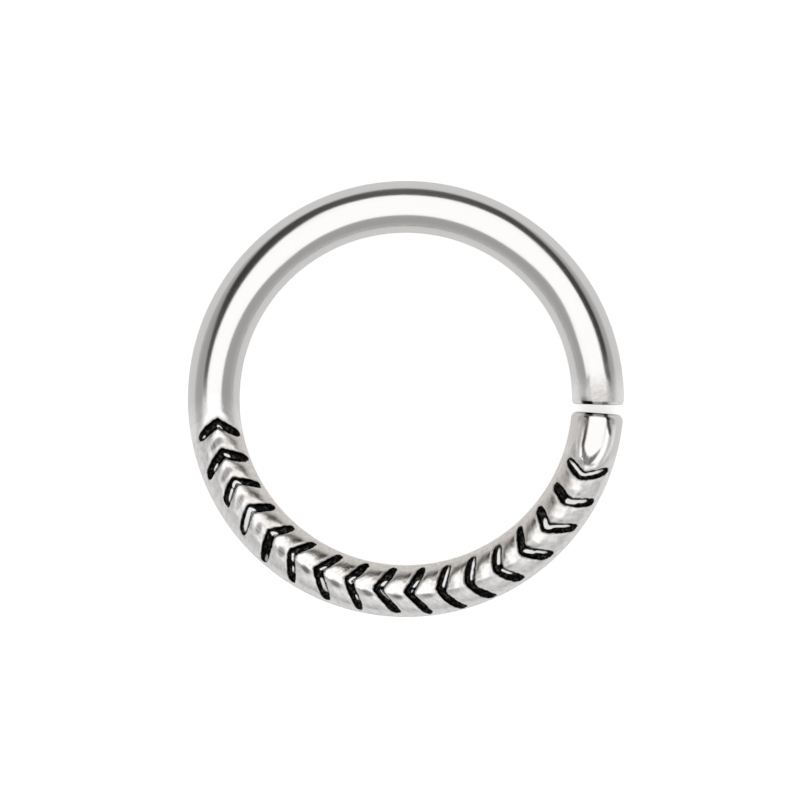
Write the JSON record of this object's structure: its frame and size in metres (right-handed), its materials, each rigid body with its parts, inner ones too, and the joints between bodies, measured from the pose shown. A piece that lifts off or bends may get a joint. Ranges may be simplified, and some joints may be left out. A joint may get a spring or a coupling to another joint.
{
  "type": "septum ring",
  "caption": "Septum ring of round polished steel wire with a narrow split and a row of blackened chevron grooves across part of its front.",
  "frame": {"origin": "centre of the ring, on the surface that the ring lies on", "axes": "+Z along the ring's axis towards its decorated front, +X towards the split, nearly, and +Y towards the middle of the plain part"},
  "size_m": [0.0104, 0.0104, 0.0012],
  "materials": {
    "steel": "mirror-polished surgical steel, blackened inside the chevron grooves"
  },
  "bodies": {
    "root": {"ring": "steel"}
  },
  "joints": []
}
